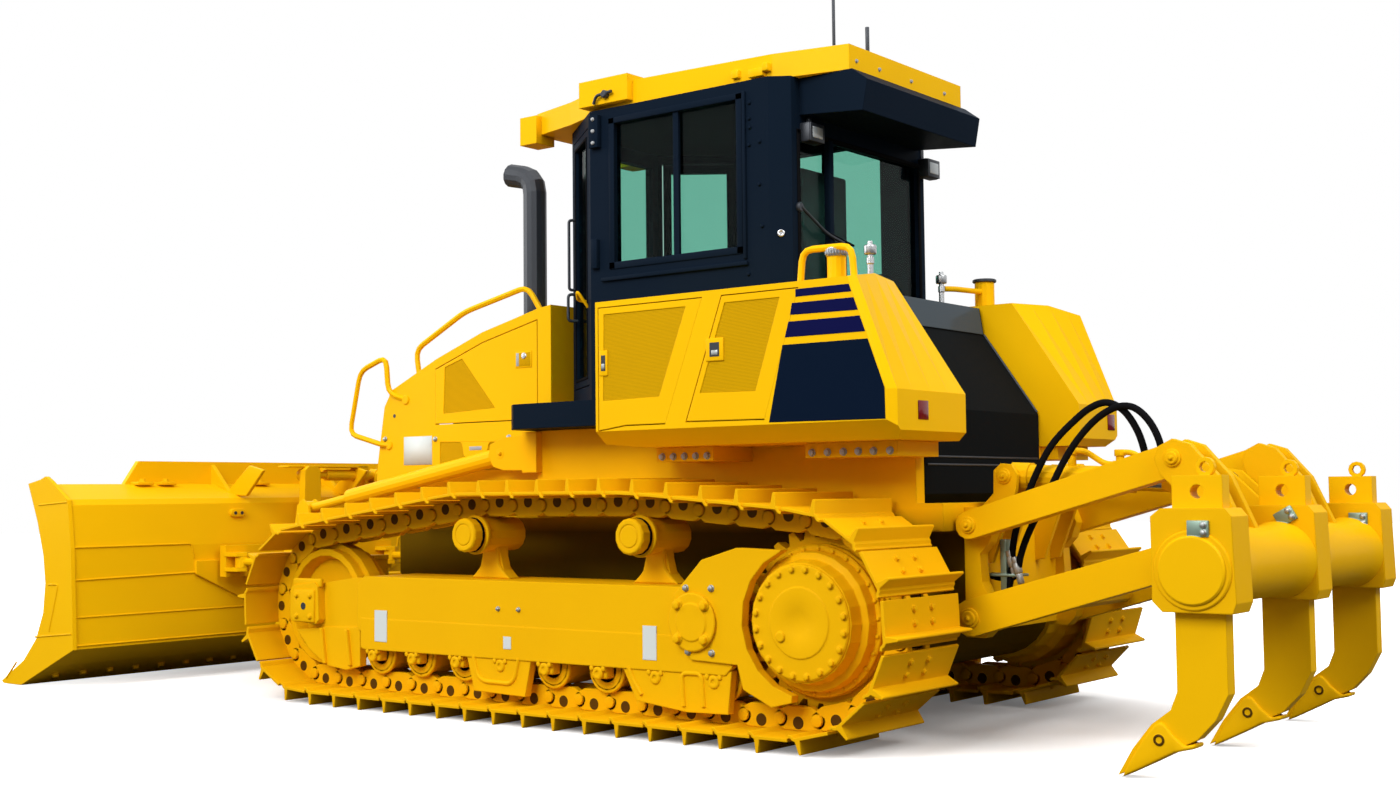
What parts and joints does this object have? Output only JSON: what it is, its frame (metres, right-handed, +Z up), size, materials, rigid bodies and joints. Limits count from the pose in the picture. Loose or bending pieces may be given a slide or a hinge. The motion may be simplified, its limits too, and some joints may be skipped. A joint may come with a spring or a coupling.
{
  "type": "bulldozer",
  "caption": "Crawler bulldozer with a power angle and tilt blade, an enclosed cab and a parallelogram ripper with three shanks.",
  "frame": {"origin": "on the ground at the middle of the machine's overall length and width", "axes": "the blade faces -Y and the ripper +Y, the machine's left side is +X, +Z is up"},
  "size_m": [3.24, 7.15, 3.5],
  "materials": {
    "yellow": "semi-gloss yellow paint",
    "track_steel": "yellow paint over cast and rolled steel, satin",
    "black_paint": "satin black paint",
    "glass": "lightly tinted, clear",
    "rod_chrome": "polished",
    "engine_grey": "painted grey",
    "cab_trim": "matte, with cloth seat"
  },
  "bodies": {
    "machine": {"main_frame": "yellow", "engine": "engine_grey", "hood": "yellow", "front_grille": "yellow", "exhaust": "black_paint", "cab_frame": "black_paint", "cab_roof": "yellow", "windscreen": "glass", "rear_window": "glass", "side_window_left": "glass", "side_window_right": "glass", "operator_station": "cab_trim", "fender_left": "yellow", "fender_right": "yellow", "rear_tank": "black_paint", "track_frame_left": "yellow", "track_frame_right": "yellow", "idler_left": "yellow", "idler_right": "yellow", "final_drive_left": "yellow", "final_drive_right": "yellow", "track_left": "track_steel", "track_right": "track_steel", "ripper_bracket": "yellow"},
    "cab_door_left": {"cab_door_left": "black_paint", "door_glass_left": "glass"},
    "hood_door_left": {"hood_door_left": "yellow"},
    "cab_door_right": {"cab_door_right": "black_paint", "door_glass_right": "glass"},
    "hood_door_right": {"hood_door_right": "yellow"},
    "fender_front_door": {"fender_front_door": "yellow"},
    "fender_rear_door": {"fender_rear_door": "yellow"},
    "c_frame": {"c_frame": "yellow"},
    "blade_pivot": {"blade_pivot": "yellow"},
    "blade": {"blade": "yellow", "tilt_barrel": "yellow"},
    "tilt_rod": {"tilt_rod": "rod_chrome"},
    "lift_barrel_left": {"lift_barrel_left": "yellow"},
    "lift_rod_left": {"lift_rod_left": "rod_chrome"},
    "angle_barrel_left": {"angle_barrel_left": "yellow"},
    "angle_rod_left": {"angle_rod_left": "rod_chrome"},
    "lift_barrel_right": {"lift_barrel_right": "yellow"},
    "lift_rod_right": {"lift_rod_right": "rod_chrome"},
    "angle_barrel_right": {"angle_barrel_right": "yellow"},
    "angle_rod_right": {"angle_rod_right": "rod_chrome"},
    "ripper_lower_link": {"ripper_lower_link": "yellow"},
    "ripper_beam": {"ripper_beam": "yellow", "shank_left": "yellow", "shank_middle": "yellow", "shank_right": "yellow"},
    "ripper_upper_link_left": {"ripper_upper_link_left": "yellow"},
    "ripper_barrel_left": {"ripper_barrel_left": "yellow"},
    "ripper_rod_left": {"ripper_rod_left": "rod_chrome"},
    "ripper_upper_link_right": {"ripper_upper_link_right": "yellow"},
    "ripper_barrel_right": {"ripper_barrel_right": "yellow"},
    "ripper_rod_right": {"ripper_rod_right": "rod_chrome"}
  },
  "joints": [
    {"name": "cab_door_left_hinge", "type": "hinge", "parent": "machine", "child": "cab_door_left", "pos_m": [0.62308, 0.1727, 1.625], "axis": [0, 0, 1], "range_deg": [0, 110]},
    {"name": "hood_door_left_hinge", "type": "hinge", "parent": "machine", "child": "hood_door_left", "pos_m": [0.5, -1.08, 1.475], "axis": [0, 0, -1], "range_deg": [0, 90]},
    {"name": "cab_door_right_hinge", "type": "hinge", "parent": "machine", "child": "cab_door_right", "pos_m": [-0.62308, 0.1727, 1.625], "axis": [0, 0, -1], "range_deg": [0, 110]},
    {"name": "hood_door_right_hinge", "type": "hinge", "parent": "machine", "child": "hood_door_right", "pos_m": [-0.5, -1.08, 1.475], "axis": [0, 0, 1], "range_deg": [0, 90]},
    {"name": "fender_front_door_hinge", "type": "hinge", "parent": "machine", "child": "fender_front_door", "pos_m": [1.15, 1.09, 1.385], "axis": [0, 0.3624, 0.932], "range_deg": [0, 90]},
    {"name": "fender_rear_door_hinge", "type": "hinge", "parent": "machine", "child": "fender_rear_door", "pos_m": [1.15, 1.63, 1.385], "axis": [0, 0.3162, 0.9487], "range_deg": [0, 90]},
    {"name": "c_frame_lift", "type": "hinge", "parent": "machine", "child": "c_frame", "pos_m": [0, -0.35, 0.47], "axis": [-1, 0, 0], "range_deg": [-10.5, 18.5]},
    {"name": "blade_angle", "type": "hinge", "parent": "c_frame", "child": "blade_pivot", "pos_m": [0, -2.65, 0.47], "axis": [0, 0, 1], "range_deg": [-25, 25]},
    {"name": "blade_tilt", "type": "hinge", "parent": "blade_pivot", "child": "blade", "pos_m": [0, -2.65, 0.47], "axis": [0, 1, 0], "range_deg": [-6.5, 6.5]},
    {"name": "tilt_stroke", "type": "slide", "parent": "blade", "child": "tilt_rod", "axis": [1, 0, 0], "range_m": [-0.09, 0.09]},
    {"name": "lift_barrel_left_pin", "type": "hinge", "parent": "machine", "child": "lift_barrel_left", "pos_m": [0.59, -0.418, 1.293], "axis": [-1, 0, 0], "range_deg": [-11, 19.5]},
    {"name": "lift_stroke_left", "type": "slide", "parent": "lift_barrel_left", "child": "lift_rod_left", "axis": [0, -0.9853, -0.1709], "range_m": [-0.27, 0.155]},
    {"name": "angle_barrel_left_pin", "type": "hinge", "parent": "c_frame", "child": "angle_barrel_left", "pos_m": [0.56, -1.55, 0.69], "axis": [0, 0, 1], "range_deg": [-1.5, 1.5]},
    {"name": "angle_stroke_left", "type": "slide", "parent": "angle_barrel_left", "child": "angle_rod_left", "axis": [0.0265, -0.9996, 0], "range_m": [-0.255, 0.255]},
    {"name": "lift_barrel_right_pin", "type": "hinge", "parent": "machine", "child": "lift_barrel_right", "pos_m": [-0.59, -0.418, 1.293], "axis": [-1, 0, 0], "range_deg": [-11, 19.5]},
    {"name": "lift_stroke_right", "type": "slide", "parent": "lift_barrel_right", "child": "lift_rod_right", "axis": [0, -0.9853, -0.1709], "range_m": [-0.27, 0.155]},
    {"name": "angle_barrel_right_pin", "type": "hinge", "parent": "c_frame", "child": "angle_barrel_right", "pos_m": [-0.56, -1.55, 0.69], "axis": [0, 0, 1], "range_deg": [-1.5, 1.5]},
    {"name": "angle_stroke_right", "type": "slide", "parent": "angle_barrel_right", "child": "angle_rod_right", "axis": [-0.0265, -0.9996, 0], "range_m": [-0.255, 0.255]},
    {"name": "ripper_lift", "type": "hinge", "parent": "machine", "child": "ripper_lower_link", "pos_m": [0, 2.25, 0.53], "axis": [1, 0, 0], "range_deg": [-30, 18]},
    {"name": "ripper_beam_pin", "type": "hinge", "parent": "ripper_lower_link", "child": "ripper_beam", "pos_m": [0, 3.18, 0.797], "axis": [1, 0, 0], "range_deg": [-18.5, 30.5]},
    {"name": "ripper_upper_link_left_pin", "type": "hinge", "parent": "machine", "child": "ripper_upper_link_left", "pos_m": [0.488, 2.25, 0.925], "axis": [1, 0, 0], "range_deg": [-30.5, 18.5]},
    {"name": "ripper_barrel_left_pin", "type": "hinge", "parent": "machine", "child": "ripper_barrel_left", "pos_m": [0.25, 2.325, 1.134], "axis": [1, 0, 0], "range_deg": [-35, 21]},
    {"name": "ripper_stroke_left", "type": "slide", "parent": "ripper_barrel_left", "child": "ripper_rod_left", "axis": [0, 0.999, -0.045], "range_m": [-0.1, 0.17]},
    {"name": "ripper_upper_link_right_pin", "type": "hinge", "parent": "machine", "child": "ripper_upper_link_right", "pos_m": [-0.488, 2.25, 0.925], "axis": [1, 0, 0], "range_deg": [-30.5, 18.5]},
    {"name": "ripper_barrel_right_pin", "type": "hinge", "parent": "machine", "child": "ripper_barrel_right", "pos_m": [-0.25, 2.325, 1.134], "axis": [1, 0, 0], "range_deg": [-35, 21]},
    {"name": "ripper_stroke_right", "type": "slide", "parent": "ripper_barrel_right", "child": "ripper_rod_right", "axis": [0, 0.999, -0.045], "range_m": [-0.1, 0.17]}
  ],
  "couplings": [
    {"joint": "tilt_stroke", "follows": "blade_tilt", "m_per_rad": -0.748},
    {"joint": "lift_barrel_left_pin", "follows": "c_frame_lift", "ratio": 1},
    {"joint": "lift_stroke_left", "follows": "c_frame_lift", "m_per_rad": -0.818},
    {"joint": "angle_barrel_left_pin", "follows": "blade_angle", "ratio": 0.04},
    {"joint": "angle_stroke_left", "follows": "blade_angle", "m_per_rad": -0.572},
    {"joint": "lift_barrel_right_pin", "follows": "c_frame_lift", "ratio": 1},
    {"joint": "lift_stroke_right", "follows": "c_frame_lift", "m_per_rad": -0.818},
    {"joint": "angle_barrel_right_pin", "follows": "blade_angle", "ratio": 0.04},
    {"joint": "angle_stroke_right", "follows": "blade_angle", "m_per_rad": 0.572},
    {"joint": "ripper_beam_pin", "follows": "ripper_lift", "ratio": -1},
    {"joint": "ripper_upper_link_left_pin", "follows": "ripper_lift", "ratio": 1},
    {"joint": "ripper_barrel_left_pin", "follows": "ripper_lift", "ratio": 1.15},
    {"joint": "ripper_stroke_left", "follows": "ripper_lift", "m_per_rad": -0.31},
    {"joint": "ripper_upper_link_right_pin", "follows": "ripper_lift", "ratio": 1},
    {"joint": "ripper_barrel_right_pin", "follows": "ripper_lift", "ratio": 1.15},
    {"joint": "ripper_stroke_right", "follows": "ripper_lift", "m_per_rad": -0.31}
  ]
}
